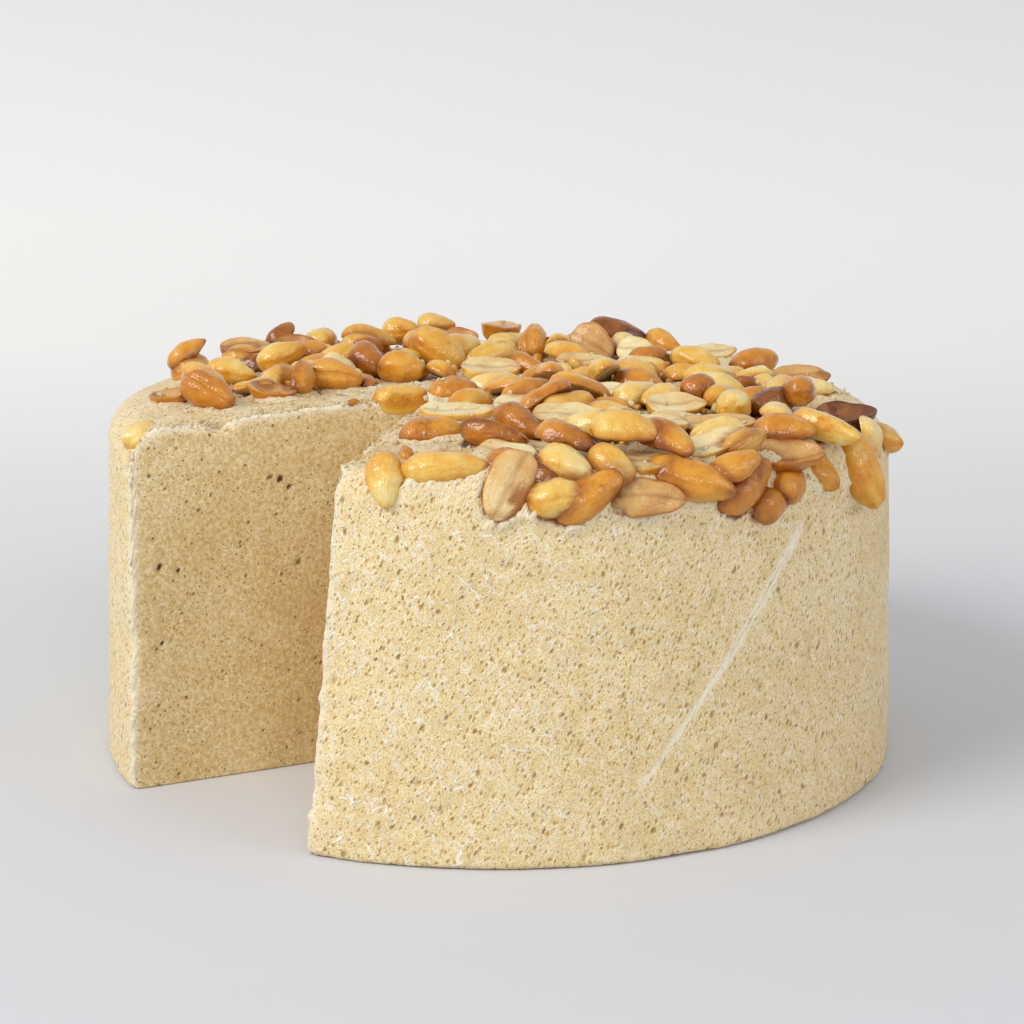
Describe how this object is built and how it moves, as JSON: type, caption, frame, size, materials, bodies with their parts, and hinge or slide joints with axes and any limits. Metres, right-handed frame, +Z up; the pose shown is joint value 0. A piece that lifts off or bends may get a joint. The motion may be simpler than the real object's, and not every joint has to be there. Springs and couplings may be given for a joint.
{
  "type": "peanut butter halva",
  "caption": "Round wheel of crumbly peanut butter halva, a wedge cut out of it, its top heaped with roasted whole and split peanuts. Standing food piece for a dessert table or sweet shop.",
  "frame": {"origin": "centre of the wheel's base, on the surface it stands on", "axes": "+Z up along the wheel's axis, -Y towards the viewer with the missing wedge at front left, +X to the viewer's right"},
  "size_m": [0.21, 0.2101, 0.1051],
  "materials": {
    "halva": "dry, crumbly and faintly oily",
    "roasted_peanut": "oiled, satin to glossy"
  },
  "bodies": {
    "root": {"halva_wheel": "halva", "peanut_topping": "roasted_peanut"}
  },
  "joints": []
}
